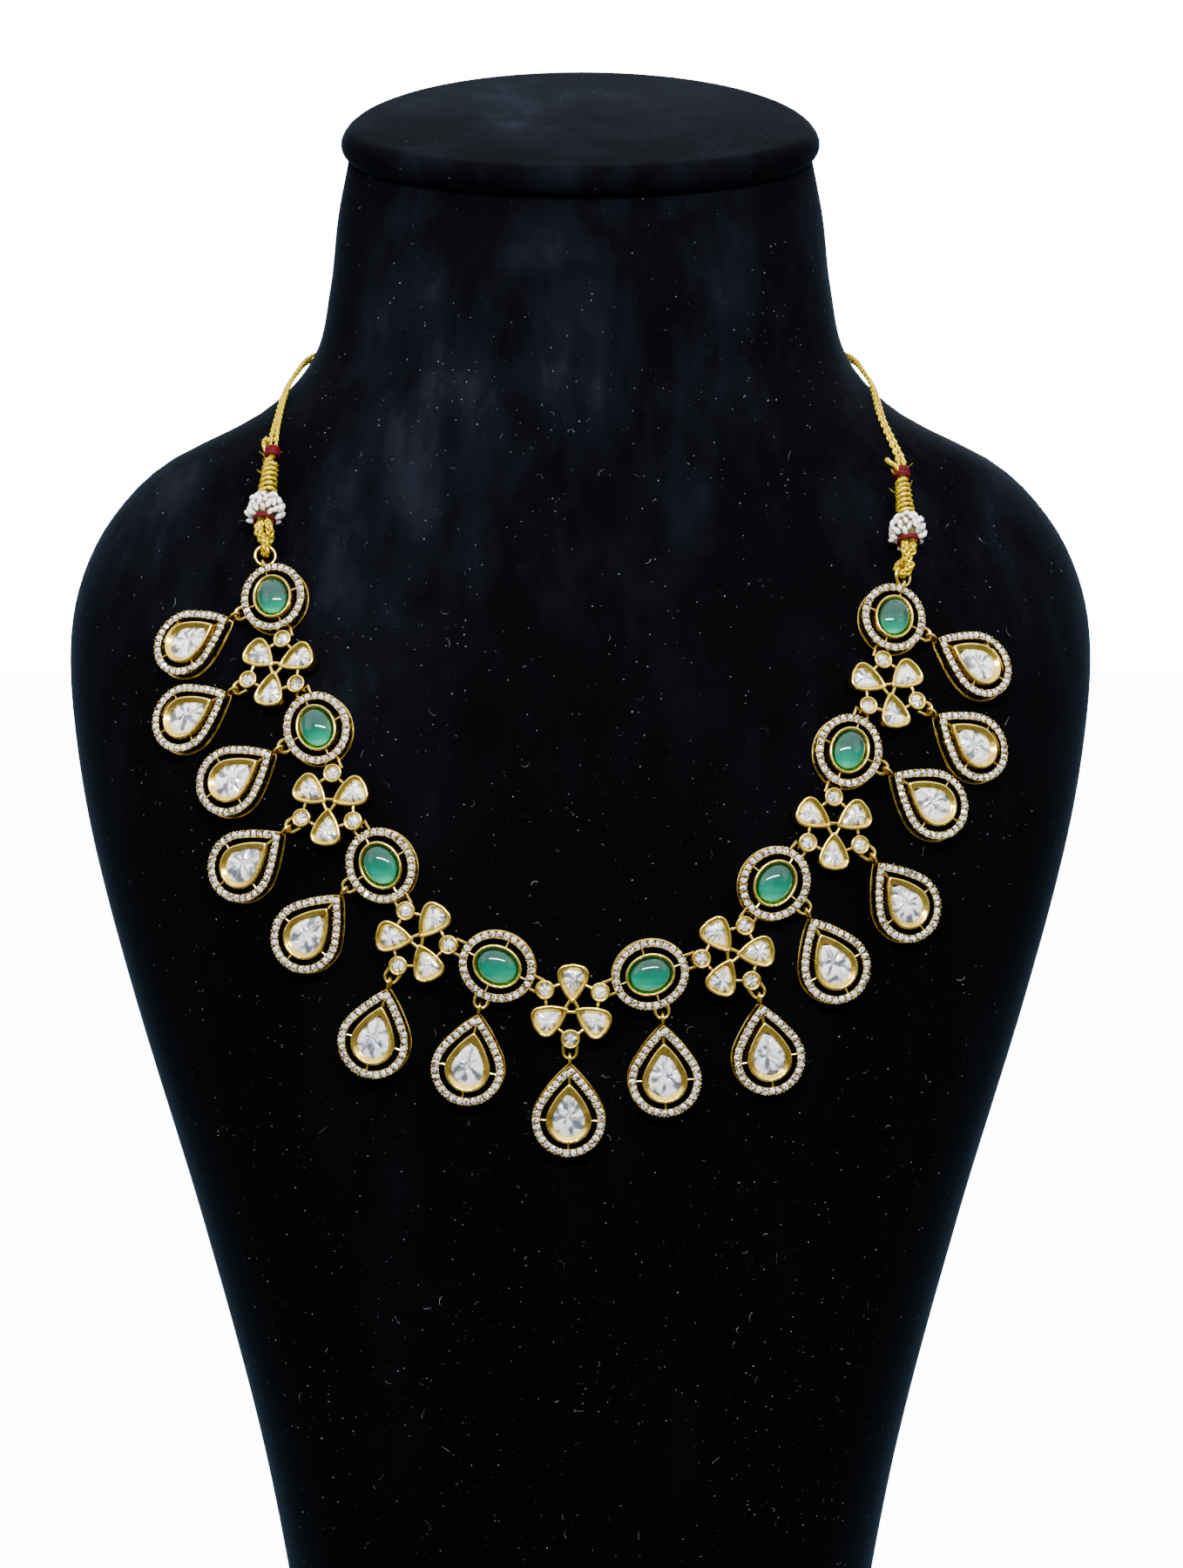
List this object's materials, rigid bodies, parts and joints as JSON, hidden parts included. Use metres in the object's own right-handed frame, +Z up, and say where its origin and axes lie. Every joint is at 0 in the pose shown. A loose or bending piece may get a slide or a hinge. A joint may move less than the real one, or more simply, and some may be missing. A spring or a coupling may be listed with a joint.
{
  "type": "necklace on a neck bust",
  "caption": "Stone-set necklace of oval and flower links, each with a pear drop, on a cord with pearl balls, displayed on a black velvet neck bust.",
  "frame": {"origin": "middle of the flat base of the bust, under the middle of the shoulders' width, on the plane it stands on", "axes": "+Z up along the height, -Y towards the front of the bust, which carries the links, +X to the viewer's right. The origin isn't at the middle of the box in Y, because the chest leans forward and the neck leans back"},
  "size_m": [0.233, 0.1225, 0.3633],
  "materials": {
    "black_velvet": "velvet pile",
    "antique_gold": "brushed antique gold plating",
    "green_stone": "polished translucent cabochon",
    "clear_stone": "foil-backed, polished",
    "gold_cord": "braided metallic thread",
    "gold_thread": "wound metallic thread",
    "red_thread": "wound silk thread",
    "seed_pearl": "pearly"
  },
  "bodies": {
    "root": {"neck_bust": "black_velvet", "oval_link_1": "antique_gold", "oval_link_2": "antique_gold", "oval_link_3": "antique_gold", "oval_link_4": "antique_gold", "oval_link_5": "antique_gold", "oval_link_6": "antique_gold", "oval_link_7": "antique_gold", "oval_link_8": "antique_gold", "flower_link_1": "antique_gold", "flower_link_2": "antique_gold", "flower_link_3": "antique_gold", "flower_link_4": "antique_gold", "flower_link_5": "antique_gold", "flower_link_6": "antique_gold", "flower_link_7": "antique_gold", "drop_frame_1": "antique_gold", "drop_frame_2": "antique_gold", "drop_frame_3": "antique_gold", "drop_frame_4": "antique_gold", "drop_frame_5": "antique_gold", "drop_frame_6": "antique_gold", "drop_frame_7": "antique_gold", "drop_frame_8": "antique_gold", "drop_frame_9": "antique_gold", "drop_frame_10": "antique_gold", "drop_frame_11": "antique_gold", "drop_frame_12": "antique_gold", "drop_frame_13": "antique_gold", "drop_frame_14": "antique_gold", "drop_frame_15": "antique_gold", "green_stone_1": "green_stone", "green_stone_2": "green_stone", "green_stone_3": "green_stone", "green_stone_4": "green_stone", "green_stone_5": "green_stone", "green_stone_6": "green_stone", "green_stone_7": "green_stone", "green_stone_8": "green_stone", "drop_stones": "clear_stone", "petal_stones": "clear_stone", "round_stones": "clear_stone", "end_ring_left": "antique_gold", "cord_loop_left": "gold_cord", "lower_wrap_left": "red_thread", "pearl_ball_left": "seed_pearl", "barrel_left": "gold_thread", "thread_tie_left": "red_thread", "end_ring_right": "antique_gold", "cord_loop_right": "gold_cord", "lower_wrap_right": "red_thread", "pearl_ball_right": "seed_pearl", "barrel_right": "gold_thread", "thread_tie_right": "red_thread", "neck_cord_upper": "gold_cord", "neck_cord_lower": "gold_cord", "cord_slider": "antique_gold"}
  },
  "joints": []
}
